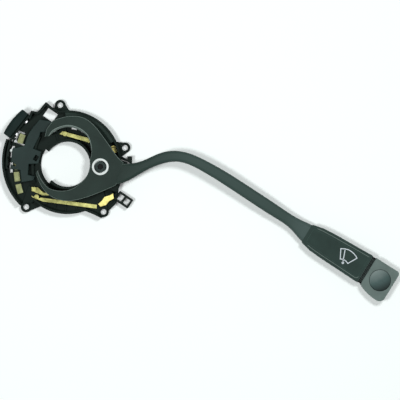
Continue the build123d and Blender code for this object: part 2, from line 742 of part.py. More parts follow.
def button_contacts():
    """Two brass contact strips on the well's floor."""
    strips = []
    for side in (-1, 1):
        place = Pos(BUTTON_S + side * 5.8, BUTTON_T, WELL_FLOOR + 0.3)
        strips.append(place * Box(2.4, 2.8, 0.6))
    return PADDLE * Compound(children=strips)


# ---------------------------------------------------------------- contact slider

TRACK_PADS = (179.0, 196.4, 205.0, 213.4)
WIPER_ANGLES = (192.8, 199.2)
SLIDER = [(TRACK_X - 3.6, -2.2), (TRACK_X + 4.1, 3.0), (TRACK_X + 4.1, 11.8), (TRACK_X + 5.9, 18.3),
          (-30.4, 25.4), (-27.2, 25.8), (-23.0, 26.6), (-15.6, 26.4), (-15.0, 20.2), (-21.6, 18.4), (-26.9, 16.4), (-26.7, 13.4),
          (-28.2, 3.0), (-21.6, 2.7), (-21.0, -6.6), (-27.7, -9.2), (-25.6, -17.2), (-20.2, -16.2),
          (-20.4, -19.6), (-28.5, -23.8), (TRACK_X + 7.0, -15.5), (TRACK_X - 0.3, -17.2)]
SLIDER_WINDOWS = [(TRACK_X - 1.1, -1.6, 3.6, 1.8), (TRACK_X + 0.9, -13.0, 3.8, 1.8),
                  (-23.9, -3.2, 3.2, 4.4)]
BLOCK_R0 = DETENT_CREST_R - 10.6
BLOCK_R1 = DETENT_CREST_R - 2.6
BLOCK_W = 5.0
BLOCK_Z0 = 5.0


def along_detent(r, z=0.0):
    """Place on the detent's line at a distance from the pivot, with X along the line outwards."""
    x, y = polar(r, DETENT_ANGLE, PIVOT_X, PIVOT_Y)
    return Pos(x, y, z) * Rot(0, 0, DETENT_ANGLE)


def rod(r0, r1, radius):
    """Round bar along the detent's line."""
    return along_detent((r0 + r1) / 2, DETENT_Z) * Rot(0, 90, 0) * Cylinder(radius, r1 - r0)


def plunger_tip_r():
    """Distance of the plunger's tip from the pivot at rest."""
    return DETENT_CREST_R - PLUNGER_GAP


def contact_slider():
    """Contact carrier: a flat moulding with the detent's guide block under it."""
    top = SLIDER_Z + SLIDER_T
    plate = slab(SLIDER, SLIDER_Z, top)
    plate = chamfer(plate.edges().group_by(Axis.Z)[-1], 0.3)
    for x, y, w, h in SLIDER_WINDOWS:
        plate -= Pos(x, y, SLIDER_Z) * Rot(0, 0, -15.5) * Box(w, h, 4 * SLIDER_T)
    block = Box(BLOCK_R1 - BLOCK_R0, BLOCK_W, top - BLOCK_Z0)
    plate += along_detent((BLOCK_R0 + BLOCK_R1) / 2, (BLOCK_Z0 + top) / 2) * block
    slot_half = PEG_R + PEG_GAP
    slot = Pos(PEG_X + PEG_SWING / 2, PEG_Y) * SlotCenterToCenter(PEG_SWING, 2 * slot_half)
    plate -= slab(slot, SLIDER_Z - 1, top + 1)
    return plate - rod(BLOCK_R0 + 1.2, BLOCK_R1 + 2.0, PLUNGER_R + PLUNGER_FIT)


def sliding_contacts():
    """Brass wipers hung under the slider, clear of the pads by the contact gap."""
    wipers = []
    low = TRACK_BED_Z + CONTACT_T + CONTACT_GAP
    for angle in WIPER_ANGLES:
        strip = pivot_band(TRACK_R - 1.2, TRACK_R + 1.2, angle - 1.4, angle + 1.4)
        wipers.append(slab(strip, low, SLIDER_Z))
    return Compound(children=wipers)


def detent_plunger():
    """Round plunger with a ball end."""
    tip = plunger_tip_r() - PLUNGER_R
    pin = rod(tip - PLUNGER_L + PLUNGER_R, tip, PLUNGER_R)
    return pin + along_detent(tip, DETENT_Z) * Sphere(PLUNGER_R)


def detent_spring():
    """Small coil behind the plunger."""
    back = BLOCK_R0 + 1.2
    front = plunger_tip_r() - PLUNGER_L
    turns = coil(0, 0, 0, front - back, PLUNGER_R - 0.4, 0.18, 4)
    return along_detent(back, DETENT_Z) * Rot(0, 90, 0) * turns


def detent_track_blank():
    return slab(pivot_band(DETENT_CREST_R, DETENT_CREST_R + DETENT_TRACK_T, 181.0, 199.6), FLOOR_T,
                DETENT_Z + 2.6)


def detent_track():
    """Curved strip with a notch at each position of the lever."""
    strip = detent_track_blank()
    notch_r = plunger_tip_r() + PLUNGER_TRAVEL - PLUNGER_R
    for step in (-1, 0, 1, 2):
        x, y = polar(notch_r, DETENT_ANGLE + step * DETENT_STEP, PIVOT_X, PIVOT_Y)
        strip -= cylinder(x, y, PLUNGER_R + 0.3, FLOOR_T - 1, DETENT_Z + 4)
    return strip


def washer_return_spring():
    """Coil round the drive peg, between the slider and the yoke."""
    return coil(PEG_X, PEG_Y, SLIDER_Z + SLIDER_T, YOKE_Z, PEG_R + 1.5, 0.35, 2.5)


# ---------------------------------------------------------------- export

parts = {
    "base_housing": base_housing,
    "side_cover": side_cover,
    "cover_screws": cover_screws,
    "contact_pads": contact_pads,
    "rail_rivets": rail_rivets,
    "terminal_tower": tower_solid,
    "terminal_plate": terminal_plate,
    "connector_housing": connector_housing,
    "terminal_blades": terminal_blades,
    "harness_clip": harness_clip,
    "harness_hook": harness_hook,
    "detent_track": detent_track,
    "pivot_screw": pivot_screw,
    "pivot_nut": pivot_nut,
    "pivot_bush": pivot_bush,
    "lever_arm": lever_arm,
    "paddle_shell": paddle_shell,
    "face_plate": face_plate,
    "tip_housing": tip_housing,
    "tip_button": tip_button,
    "button_spring": button_spring,
    "button_contacts": button_contacts,
    "contact_slider": contact_slider,
    "sliding_contacts": sliding_contacts,
    "detent_plunger": detent_plunger,
    "detent_spring": detent_spring,
    "washer_return_spring": washer_return_spring,
}

for name, make in parts.items():
    export_step(make(), f"parts/{name}.step")
for name in RAILS:
    export_step(contact_rail(name), f"parts/contact_rail_{name}.step")
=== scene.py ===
import json
import math

import bmesh
import bpy
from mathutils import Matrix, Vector


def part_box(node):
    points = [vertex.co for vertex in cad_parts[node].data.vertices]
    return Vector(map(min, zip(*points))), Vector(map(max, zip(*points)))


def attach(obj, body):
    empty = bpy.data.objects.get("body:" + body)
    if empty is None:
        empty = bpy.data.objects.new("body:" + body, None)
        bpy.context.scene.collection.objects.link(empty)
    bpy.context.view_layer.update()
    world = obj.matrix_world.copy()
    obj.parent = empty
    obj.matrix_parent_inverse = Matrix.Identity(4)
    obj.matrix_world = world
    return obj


# Looks of a combination stalk switch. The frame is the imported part's: the origin is on the column axis at
# the mounting face, +X towards the lever side, +Z to the driver. Lengths are metres, but the outlines and
# profiles of trim are millimetres, as is everything that is multiplied by MM.

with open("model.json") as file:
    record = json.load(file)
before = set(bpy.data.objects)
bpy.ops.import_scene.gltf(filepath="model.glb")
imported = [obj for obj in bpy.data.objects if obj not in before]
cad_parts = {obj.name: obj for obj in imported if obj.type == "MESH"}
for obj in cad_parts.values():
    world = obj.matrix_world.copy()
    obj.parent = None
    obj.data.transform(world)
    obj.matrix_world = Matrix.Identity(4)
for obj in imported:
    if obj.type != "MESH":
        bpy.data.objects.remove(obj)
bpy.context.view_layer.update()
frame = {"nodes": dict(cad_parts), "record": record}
nodes = frame["nodes"]

MM = 0.001

# Places taken from the part
PADDLE_ORIGIN = (191.2 * MM, 6.9 * MM)
PADDLE_TURN = math.radians(-13.0)
PLATE_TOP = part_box("face_plate")[1].z
BUTTON_LOW, BUTTON_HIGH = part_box("tip_button")
BUTTON_AT = (BUTTON_LOW + BUTTON_HIGH) / 2
BUTTON_R = (BUTTON_HIGH.x - BUTTON_LOW.x) / 2
SCREW_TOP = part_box("pivot_screw")[1].z
YOKE_TOP = 22.0 * MM

# Where the lever's colour changes along X, as the start and the end of each change
STEM_X = (0.040, 0.085)
# Neck stretch that takes a painted highlight on its slope
NECK_X = (0.168, 0.184)
YOKE_END_X = (0.046, 0.036)

# Painted highlight line on the yoke's edges: upward share of the normal, and depth below the top
HIGHLIGHT_NORMAL = (0.94, 0.60)
HIGHLIGHT_DEPTH = (0.0010, 0.0004)

# Slope of the normal away from flat that counts as an edge
EDGE_DOT = (0.995, 0.80)

# Way across the button from its painted shade to its painted highlight
PAINTED_LIGHT_WAY = (-0.688, 0.725, 0.0)
SOCKET_LIP = 0.0005

# View and light
VIEW_TURN = math.radians(18.5)
CAMERA_AT = (0.1032, 0.0061, 2.418)
CAMERA_LENS = 288.0
CAMERA_SENSOR = 36.0
CAMERA_NEAR = 0.05
CAMERA_FAR = 20.0
FLOOR_Z = -0.0003
FLOOR_HALF = 3.0
FLOOR_MID_X = 0.1
AMBIENT = 0.16
FLOOR_PALE = (0.80, 0.86, 0.85, 1.0)
FLOOR_LIFT = 0.15
LAMP_HEIGHT = 1.3
LAMP_SIZE = 0.22
LAMP_POWER = 8.6
LAMP_SLOPES = {"upper_right_lamp": (0.23, 0.24), "left_lamp": (-0.28, -0.08)}

# Colours, linear
YOKE_GREEN = (0.0166, 0.0300, 0.0250)
STALK_GREEN = (0.0400, 0.0660, 0.0590)
# Paler green, a painted highlight on the neck's slope before the paddle
NECK_PAINTED_HIGHLIGHT = (0.0570, 0.0880, 0.0820)
# Pale grey of the painted highlights along edges
EDGE_HIGHLIGHT_GREY = (0.17, 0.22, 0.20)
BASE_BLACK = (0.0065, 0.0125, 0.0100)
RIM_GREY = (0.0165, 0.0290, 0.0240)
GUARD_GREY = (0.0080, 0.0170, 0.0155)
PADDLE_GREY = (0.0235, 0.0425, 0.0370)
FACE_GREY = (0.0215, 0.0400, 0.0345)
TIP_GREY = (0.1180, 0.1620, 0.1500)
BUTTON_GREY = (0.0640, 0.1050, 0.1000)
# Painted highlight and painted shade for the button's two sides
BUTTON_PAINTED_HIGHLIGHT = (0.2000, 0.2550, 0.2450)
BUTTON_PAINTED_SHADE = (0.0200, 0.0280, 0.0270)
SLIDER_GREEN = (0.0150, 0.0290, 0.0265)
# Painted shade: black of the strips in the groove before the tip
GROOVE_SHADE_BLACK = (0.004, 0.006, 0.006)
BRASS = (0.430, 0.430, 0.140)
PAD_BRASS = (0.230, 0.255, 0.110)
TOWER_BRASS = (0.540, 0.490, 0.150)
NYLON = (0.70, 0.77, 0.75)
BLACK_OXIDE = (0.025, 0.040, 0.037)
# Painted shade for the screw's hex socket
SOCKET_PAINTED_SHADE = (0.0025, 0.0035, 0.0035)
ZINC = (0.42, 0.43, 0.44)
PRINT_WHITE = (0.56, 0.63, 0.67)


# ---------------------------------------------------------------- materials

def link(tree, source, target):
    tree.links.new(source, target)


def node(tree, kind, **values):
    """Shader node with its inputs set by name."""
    made = tree.nodes.new(kind)
    for key, value in values.items():
        made.inputs[key.replace("_", " ")].default_value = value
    return made


def spread(tree, source, low, high, to_low, to_high):
    """Map Range from one stretch of values to another."""
    made = tree.nodes.new("ShaderNodeMapRange")
    for key, value in (("From Min", low), ("From Max", high), ("To Min", to_low), ("To Max", to_high)):
        made.inputs[key].default_value = value
    link(tree, source, made.inputs["Value"])
    return made.outputs["Result"]


def shade(colour, factor=1.0):
    """Opaque colour, darker or paler by a factor."""
    return tuple(min(1.0, c * factor) for c in colour) + (1.0,)


def mixed(tree, factor, low, high):
    """Colour between two colours or sockets."""
    made = tree.nodes.new("ShaderNodeMix")
    made.data_type = "RGBA"
    link(tree, factor, made.inputs["Factor"])
    for key, value in (("A", low), ("B", high)):
        sockets = [s for s in made.inputs if s.name == key and s.type == "RGBA"]
        if isinstance(value, tuple):
            sockets[0].default_value = value
        else:
            link(tree, value, sockets[0])
    return [s for s in made.outputs if s.type == "RGBA"][0]


def times(tree, first, second):
    made = tree.nodes.new("ShaderNodeMath")
    made.operation = "MULTIPLY"
    link(tree, first, made.inputs[0])
    link(tree, second, made.inputs[1])
    return made.outputs["Value"]


def axis_value(tree, source, axis):
    """One coordinate of a vector socket."""
    split = tree.nodes.new("ShaderNodeSeparateXYZ")
    link(tree, source, split.inputs[0])
    return split.outputs[axis]


def object_place(tree):
    """Coordinates in the piece's own frame."""
    return tree.nodes.new("ShaderNodeTexCoord").outputs["Object"]


def edge_factor(tree, radius):
    """One along convex and concave edges within a radius, nought on flat ground."""
    soft = node(tree, "ShaderNodeBevel", Radius=radius)
    soft.samples = 6
    flat = tree.nodes.new("ShaderNodeNewGeometry")
    dot = tree.nodes.new("ShaderNodeVectorMath")
    dot.operation = "DOT_PRODUCT"
    link(tree, soft.outputs["Normal"], dot.inputs[0])
    link(tree, flat.outputs["Normal"], dot.inputs[1])
    return spread(tree, dot.outputs["Value"], *EDGE_DOT, 0.0, 1.0), soft


def new_material(name):
    material = bpy.data.materials.new(name)
    material.use_nodes = True
    tree = material.node_tree
    return material, tree, tree.nodes["Principled BSDF"]


def plastic(name, colour, rough=0.5, grain=2600.0, bump=0.18, edge=1.9, edge_r=0.00035, gloss=0.06):
    """Moulded plastic: fine spark-eroded grain, faint colour drift and paler edges, partly wear and partly
    a painted edge highlight.
    """
    material, tree, shader = new_material(name)
    shader.inputs["Specular IOR Level"].default_value = gloss
    place = object_place(tree)
    fine = node(tree, "ShaderNodeTexNoise", Scale=grain, Detail=2.0)
    broad = node(tree, "ShaderNodeTexNoise", Scale=70.0, Detail=4.0, Roughness=0.6)
    for noise in (fine, broad):
        link(tree, place, noise.inputs["Vector"])
    drift = mixed(tree, spread(tree, broad.outputs["Fac"], 0.3, 0.7, 0.0, 1.0), shade(colour, 0.84),
                  shade(colour, 1.16))
    # Paler along edges: partly wear, partly a painted edge highlight
    edge_worn_and_highlit, soft = edge_factor(tree, edge_r)
    patchy = times(tree, edge_worn_and_highlit, spread(tree, broad.outputs["Fac"], 0.35, 0.6, 0.45, 1.0))
    link(tree, mixed(tree, patchy, drift, shade(colour, edge)), shader.inputs["Base Color"])
    link(tree, spread(tree, fine.outputs["Fac"], 0.3, 0.7, rough - 0.06, rough + 0.08),
         shader.inputs["Roughness"])
    relief = node(tree, "ShaderNodeBump", Strength=bump, Distance=0.00008)
    link(tree, fine.outputs["Fac"], relief.inputs["Height"])
    link(tree, soft.outputs["Normal"], relief.inputs["Normal"])
    link(tree, relief.outputs["Normal"], shader.inputs["Normal"])
    return material


def overlay(material):
    """Tree, shader, own coordinates and present colour of a material that gets one more layer."""
    tree = material.node_tree
    shader = tree.nodes["Principled BSDF"]
    return tree, shader, object_place(tree), shader.inputs["Base Color"].links[0].from_socket


def lever_plastic():
    """The lever's plastic: a paler stalk, a painted highlight on the neck before the paddle, and a painted
    highlight line where the yoke's top edges turn down.
    """
    material = plastic("lever_plastic", YOKE_GREEN, rough=0.46, edge=2.2)
    tree, shader, place, edge_worn_and_highlit = overlay(material)
    normal = tree.nodes.new("ShaderNodeNewGeometry").outputs["Normal"]
    along = axis_value(tree, place, "X")
    stem = mixed(tree, spread(tree, along, *STEM_X, 0.0, 1.0), edge_worn_and_highlit, shade(STALK_GREEN))
    # Painted highlight on the neck's slope before the paddle
    body = mixed(tree, spread(tree, along, *NECK_X, 0.0, 1.0), stem, shade(NECK_PAINTED_HIGHLIGHT))
    # Painted highlight: paler where the normal turns down near the yoke's top
    turning = spread(tree, axis_value(tree, normal, "Z"), *HIGHLIGHT_NORMAL, 0.0, 1.0)
    depths = [YOKE_TOP - depth for depth in HIGHLIGHT_DEPTH]
    high = spread(tree, axis_value(tree, place, "Z"), *depths, 0.0, 1.0)
    on_yoke = spread(tree, along, *YOKE_END_X, 0.0, 1.0)
    painted_highlight = times(tree, times(tree, turning, high), on_yoke)
    link(tree, mixed(tree, painted_highlight, body, shade(EDGE_HIGHLIGHT_GREY)), shader.inputs["Base Color"])
    return material


def button_plastic():
    """The button's plastic with painted light across it: a painted highlight towards one side and painted
    shade towards the other, as on a dome lit from that side.
    """
    material = plastic("button_plastic", BUTTON_GREY, rough=0.4, bump=0.1, edge=1.5)
    tree, shader, place, plain = overlay(material)
    lean = tree.nodes.new("ShaderNodeVectorMath")
    lean.operation = "DOT_PRODUCT"
    lean.inputs[1].default_value = PAINTED_LIGHT_WAY
    link(tree, place, lean.inputs[0])
    middle = BUTTON_AT.dot(Vector(PAINTED_LIGHT_WAY))
    lit_side = spread(tree, lean.outputs["Value"], middle - BUTTON_R, middle + BUTTON_R, 0.0, 1.0)
    # Painted shade on one half of the button, painted highlight on the other
    dark = mixed(tree, spread(tree, lit_side, 0.0, 0.5, 1.0, 0.0), plain, shade(BUTTON_PAINTED_SHADE))
    pale = mixed(tree, spread(tree, lit_side, 0.5, 1.0, 0.0, 1.0), dark, shade(BUTTON_PAINTED_HIGHLIGHT))
    link(tree, pale, shader.inputs["Base Color"])
    return material


def metal(name, colour, rough=0.34, along=(1.0, 14.0, 14.0), metallic=1.0, stain=0.72, gloss=0.5):
    """Rolled metal: brushed streaks, dull tarnish patches and bright edges, partly wear and partly a
    painted edge highlight.
    """
    material, tree, shader = new_material(name)
    place = object_place(tree)
    stretch = node(tree, "ShaderNodeMapping", Scale=along)
    link(tree, place, stretch.inputs["Vector"])
    streak = node(tree, "ShaderNodeTexNoise", Scale=160.0, Detail=3.0)
    link(tree, stretch.outputs["Vector"], streak.inputs["Vector"])
    patch = node(tree, "ShaderNodeTexNoise", Scale=190.0, Detail=5.0, Roughness=0.65)
    link(tree, place, patch.inputs["Vector"])
    body = mixed(tree, spread(tree, patch.outputs["Fac"], 0.36, 0.66, 0.0, 1.0), shade(colour, stain),
                 shade(colour, 1.08))
    # Brighter along edges: partly wear, partly a painted edge highlight
    edge_worn_and_highlit, soft = edge_factor(tree, 0.00018)
    link(tree, mixed(tree, edge_worn_and_highlit, body, shade(colour, 1.25)), shader.inputs["Base Color"])
    shader.inputs["Metallic"].default_value = metallic
    shader.inputs["Specular IOR Level"].default_value = gloss
    link(tree, spread(tree, patch.outputs["Fac"], 0.3, 0.7, rough + 0.12, rough - 0.06),
         shader.inputs["Roughness"])
    relief = node(tree, "ShaderNodeBump", Strength=0.25, Distance=0.00004)
    link(tree, streak.outputs["Fac"], relief.inputs["Height"])
    link(tree, soft.outputs["Normal"], relief.inputs["Normal"])
    link(tree, relief.outputs["Normal"], shader.inputs["Normal"])
    return material


def screw_steel():
    """Oxide-blacked steel of the pivot screw, with painted shade down in its socket."""
    material = metal("black_steel", BLACK_OXIDE, rough=0.5, along=(6.0, 6.0, 6.0), metallic=0.0, gloss=0.08)
    tree, shader, place, plain = overlay(material)
    depths = (SCREW_TOP - SOCKET_LIP, SCREW_TOP - 2 * SOCKET_LIP)
    # Painted shade: darker below the screw's top, down in the hex socket
    socket_shade = spread(tree, axis_value(tree, place, "Z"), *depths, 0.0, 1.0)
    link(tree, mixed(tree, socket_shade, plain, shade(SOCKET_PAINTED_SHADE)), shader.inputs["Base Color"])
    return material


def printed_ink():
    """White pad print, thin enough for the plastic to show in places."""
    material, tree, shader = new_material("printed_ink")
    thin = node(tree, "ShaderNodeTexNoise", Scale=1400.0, Detail=3.0)
    link(tree, object_place(tree), thin.inputs["Vector"])
    cover = spread(tree, thin.outputs["Fac"], 0.32, 0.5, 0.0, 1.0)
    ink = mixed(tree, cover, shade(PRINT_WHITE, 0.72), shade(PRINT_WHITE))
    link(tree, ink, shader.inputs["Base Color"])
    link(tree, spread(tree, thin.outputs["Fac"], 0.3, 0.7, 0.5, 0.66), shader.inputs["Roughness"])
    return material


def make_materials():
    return {
        "base_plastic": plastic("base_plastic", BASE_BLACK, rough=0.48, gloss=0.04),
        "rim_plastic": plastic("rim_plastic", RIM_GREY, rough=0.5, gloss=0.05),
        "guard_plastic": plastic("guard_plastic", GUARD_GREY, rough=0.55, grain=1900.0, bump=0.3,
                                 gloss=0.05),
        "lever_plastic": lever_plastic(),
        # Pale material whose colour is a painted edge highlight
        "highlight_bead": plastic("highlight_bead", EDGE_HIGHLIGHT_GREY, rough=0.4, edge=1.2),
        # Painted shade for the groove before the tip
        "painted_groove_shade": plastic("painted_groove_shade", GROOVE_SHADE_BLACK, rough=0.75, grain=1200.0, bump=0.3, edge=1.5,
                               gloss=0.08),
        "paddle_plastic": plastic("paddle_plastic", PADDLE_GREY, rough=0.52, grain=1700.0, bump=0.3),
        "face_plastic": plastic("face_plastic", FACE_GREY, rough=0.5, edge=3.4, edge_r=0.0004),
        "tip_plastic": plastic("tip_plastic", TIP_GREY, rough=0.5, edge=1.4),
        "button_plastic": button_plastic(),
        "slider_plastic": plastic("slider_plastic", SLIDER_GREEN, rough=0.44, edge=2.4),
        "brass": metal("brass", BRASS, rough=0.55, metallic=0.35),
        "pad_brass": metal("pad_brass", PAD_BRASS, rough=0.6, metallic=0.3),
        "tower_brass": metal("tower_brass", TOWER_BRASS, rough=0.5, metallic=0.4),
        "nylon": plastic("nylon", NYLON, rough=0.38, grain=1500.0, bump=0.12, edge=1.1),
        "black_steel": screw_steel(),
        "steel": metal("steel", ZINC, rough=0.3),
        "printed_ink": printed_ink(),
    }


NODE_LOOKS = {"contact_pads": "pad_brass", "sliding_contacts": "pad_brass"}


def dress_nodes(materials):
    """Every CAD node takes the material of its slot, or its own look where it has one."""
    for part in frame["record"]["subparts"]:
        mesh = nodes[part["node"]].data
        mesh.materials.clear()
        mesh.materials.append(materials[NODE_LOOKS.get(part["node"], part["material_slot"])])


# ---------------------------------------------------------------- mesh helpers

MITRE_LIMIT = 0.35


def paddle_point(s, t, z=0.0):
    """Point of the paddle's own frame, in millimetres, in the part's frame."""
    x = s * math.cos(PADDLE_TURN) - t * math.sin(PADDLE_TURN)
    y = s * math.sin(PADDLE_TURN) + t * math.cos(PADDLE_TURN)
    return Vector((PADDLE_ORIGIN[0] + x * MM, PADDLE_ORIGIN[1] + y * MM, z))


def add_piece(name, mesh, body, material):
    piece = bpy.data.objects.new(name, mesh)
    bpy.context.scene.collection.objects.link(piece)
    piece.data.materials.append(material)
    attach(piece, body)
    return piece


def skin(name, rings, whole=False):
    """Mesh through rings of points, with flat ends unless it closes on itself."""
    build = bmesh.new()
    loops = [[build.verts.new(point) for point in ring] for ring in rings]
    for near, far in zip(loops, loops[1:] + loops[:1] if whole else loops[1:]):
        for k in range(len(near)):
            after = (k + 1) % len(near)
            build.faces.new((near[k], near[after], far[after], far[k]))
    if not whole:
        build.faces.new(loops[0][::-1])
        build.faces.new(loops[-1])
    bmesh.ops.recalc_face_normals(build, faces=build.faces)
    mesh = bpy.data.meshes.new(name)
    build.to_mesh(mesh)
    build.free()
    return mesh


def ribbon(name, path, width, z0, z1, closed=False):
    """Flat strip of even width along a path of points, with mitred corners."""
    count = len(path)
    rings = []
    for i, point in enumerate(path):
        before = path[i - 1] if i or closed else point
        after = path[(i + 1) % count] if i + 1 < count or closed else point
        into = (Vector(point) - Vector(before)).to_2d()
        out = (Vector(after) - Vector(point)).to_2d()
        into = into.normalized() if into.length else out.normalized()
        out = out.normalized() if out.length else into
        normal = Vector((-into.y - out.y, into.x + out.x)).normalized()
        reach = width / 2 / max(MITRE_LIMIT, normal.dot(Vector((-into.y, into.x))))
        left = Vector(point).to_2d() + normal * reach
        right = Vector(point).to_2d() - normal * reach
        rings.append([(p.x, p.y, z) for p, z in ((left, z0), (right, z0), (right, z1), (left, z1))])
    return skin(name, rings, closed)


def arc_points(centre, radius, from_angle, to_angle, steps):
    """Points on an arc, angles in degrees."""
    points = []
    for i in range(steps + 1):
        a = math.radians(from_angle + (to_angle - from_angle) * i / steps)
        points.append((centre[0] + radius * math.cos(a), centre[1] + radius * math.sin(a)))
    return points


# ---------------------------------------------------------------- print on the paddle

INK_T = 0.00005
LINE_W = 0.00066
SCREEN_OUTER = [(23.8, 3.6), (26.4, 5.0), (29.0, 5.8), (31.6, 5.9), (34.4, 5.4), (36.4, 4.7), (37.9, 3.8)]
SCREEN_INNER = [(34.1, -3.2), (32.4, -2.5), (30.6, -2.3), (28.9, -2.6), (27.5, -3.3)]
WIPER_ARM = [(27.0, 4.4), (30.4, -4.2)]
WIPER_HUB = (30.6, -4.7)
WIPER_HUB_R = 0.6
WIPER_HUB_SIDES = 12


def windscreen_symbol(material):
    """Windscreen outline with a wiper arm, printed on the face plate."""
    outline = [paddle_point(s, t) for s, t in SCREEN_OUTER + SCREEN_INNER]
    arm = [paddle_point(s, t) for s, t in WIPER_ARM]
    step = 360 / WIPER_HUB_SIDES
    hub = arc_points(paddle_point(*WIPER_HUB), WIPER_HUB_R * MM, 0, 360 - step, WIPER_HUB_SIDES - 1)
    for name, path, closed in (("symbol_screen", outline, True), ("symbol_arm", arm, False),
                               ("symbol_hub", hub, True)):
        mesh = ribbon(name, path, LINE_W, PLATE_TOP, PLATE_TOP + INK_T, closed)
        add_piece(name, mesh, "lever", material)


# ---------------------------------------------------------------- trim on the paddle

BEAD_W = 0.00032
BEAD_RISE = 0.00006
BEAD_SINK = 0.0003
BEAD_UPPER = [(1.0, 7.2), (6.0, 7.9), (14.0, 8.3), (30.0, 8.85), (45.4, 9.35)]
BEAD_CORNER = (44.0, -7.4)
BEAD_CORNER_R = 2.0
BEAD_CORNER_ARC = (-80, 0)
BEAD_CORNER_STEPS = 6
# Places of the painted-shade strips across the groove
GROOVE_SHADE_S = (48.1, 49.0, 49.9)
GROOVE_SHADE_HALF = 11.1
GROOVE_SHADE_END = 1.0
GROOVE_SHADE_W = 0.0007
GROOVE_SHADE_FOOT = 0.0017
GROOVE_SHADE_SINK = 0.0011


def face_beads(material):
    """Fine raised lines along the paddle's upper and lower edges, the lower one with a rounded corner;
    their pale colour is a painted highlight along those edges.
    """
    z0, z1 = PLATE_TOP - BEAD_SINK, PLATE_TOP + BEAD_RISE
    upper = [paddle_point(s, t) for s, t in BEAD_UPPER]
    lower = [paddle_point(s, -t) for s, t in BEAD_UPPER[:-1]]
    lower.append(paddle_point(BEAD_CORNER[0], BEAD_CORNER[1] - BEAD_CORNER_R))
    corner = arc_points(BEAD_CORNER, BEAD_CORNER_R, *BEAD_CORNER_ARC, BEAD_CORNER_STEPS)
    lower += [paddle_point(s, t) for s, t in corner]
    for name, path in (("face_bead_upper", upper), ("face_bead_lower", lower)):
        add_piece(name, ribbon(name, path, BEAD_W, z0, z1), "lever", material)


def painted_groove_strip(material):
    """Black strips in the groove between paddle and tip, painted shade standing in for the shadow down in
    that gap.
    """
    straight = GROOVE_SHADE_HALF - GROOVE_SHADE_END
    for i, s in enumerate(GROOVE_SHADE_S):
        name = f"painted_groove_strip_{i}"
        path = [paddle_point(s, t) for t in (-GROOVE_SHADE_HALF, -straight, straight, GROOVE_SHADE_HALF)]
        mesh = ribbon(name, path, GROOVE_SHADE_W, GROOVE_SHADE_FOOT, PLATE_TOP - GROOVE_SHADE_SINK)
        add_piece(name, mesh, "lever", material)


# ---------------------------------------------------------------- trim on the lever

YOKE_INNER = [(-19.6, 15.4), (-16.4, 21.6), (-9.0, 27.0), (-0.6, 28.0), (7.0, 25.8), (11.6, 21.2),
              (14.6, 15.0)]
LIP_STEPS = 8
LIP_IN = 0.75
LIP_OUT = 0.85
LIP_DROP = 1.7
LIP_PROUD = 0.02
LIP_FLAT = 0.4
LIP_START = (0.25, 6.0)
LIP_END = (0.12, 1.9)


def smooth_path(corners, steps):
    """Points of a smooth curve through the corners."""
    path = []
    padded = [corners[0]] + corners + [corners[-1]]
    for k in range(len(corners) - 1):
        p0, p1, p2, p3 = [Vector(p) for p in padded[k:k + 4]]
        for i in range(steps):
            t = i / steps
            path.append(0.5 * (2 * p1 + (p2 - p0) * t + (2 * p0 - 5 * p1 + 4 * p2 - p3) * t * t
                               + (3 * p1 - p0 - 3 * p2 + p3) * t ** 3))
    path.append(Vector(corners[-1]))
    return path


def lip_section(share):
    """Corners (reach, height) of the lip: it grows soon after its start and fades slowly to its end."""
    grown = min(1.0, LIP_START[0] + LIP_START[1] * share)
    width = grown * min(1.0, LIP_END[0] + LIP_END[1] * (1.0 - share))
    top = YOKE_TOP / MM + LIP_PROUD
    foot = top - LIP_DROP * width
    back = -LIP_IN * width
    return [(back, top), (back * LIP_FLAT, top), (LIP_OUT * width, foot), (back, foot)]


def yoke_lip(material):
    """Pale sloping lip along the inner edge of the yoke's upper arm, tapering out at both ends; its pale
    colour is a painted highlight on that edge.
    """
    path = smooth_path(YOKE_INNER, LIP_STEPS)
    last = len(path) - 1
    rings = []
    for i, point in enumerate(path):
        along = (path[min(last, i + 1)] - path[max(0, i - 1)]).normalized()
        side = Vector((along.y, -along.x))
        corners = [(point + side * reach, z) for reach, z in lip_section(i / last)]
        rings.append([(at.x * MM, at.y * MM, z * MM) for at, z in corners])
    add_piece("yoke_lip", skin("yoke_lip", rings), "lever", material)


# ---------------------------------------------------------------- trim on the base

BAND_IN = 33.6
BAND_OUT = 40.5
BAND_FROM = 44.5
BAND_TO = 110.5
BAND_STEPS = 48
BAND_BASE_Z = 10.4
BAND_CROWN = 1.7
BAND_RIDGES = 4
BAND_RIDGE_H = 0.07
BAND_FACETS = 32
BAND_SKIRT = 0.1
CROWN_FROM = 0.04
CROWN_SPAN = 0.93
CROWN_POWER = 0.7


def swept_band(name, profile, from_angle, to_angle, steps, centre=(0.0, 0.0)):
    """Closed profile of (radius, height), swept about a centre in metres and joined up at a full turn."""
    whole = to_angle - from_angle >= 360.0
    rings = []
    for i in range(steps if whole else steps + 1):
        a = math.radians(from_angle + (to_angle - from_angle) * i / steps)
        rings.append([(centre[0] + r * MM * math.cos(a), centre[1] + r * MM * math.sin(a), z * MM)
                      for r, z in profile])
    return skin(name, rings, whole)


def rim_cap(material):
    """Rounded flange turned in from the rim beside the lever, with faint ridges along it."""
    profile = [(BAND_OUT, BAND_BASE_Z)]
    for i in range(BAND_FACETS + 1):
        share = i / BAND_FACETS
        radius = BAND_OUT - (BAND_OUT - BAND_IN) * share
        crown = BAND_CROWN * math.sin(math.pi * (CROWN_FROM + CROWN_SPAN * share)) ** CROWN_POWER
        ridge = BAND_RIDGE_H * math.sin(2 * math.pi * BAND_RIDGES * share)
        profile.append((radius, BAND_BASE_Z + BAND_SKIRT + crown + ridge))
    profile.append((BAND_IN, BAND_BASE_Z))
    mesh = swept_band("rim_cap", profile, BAND_FROM, BAND_TO, BAND_STEPS)
    add_piece("rim_cap", mesh, "root", material)


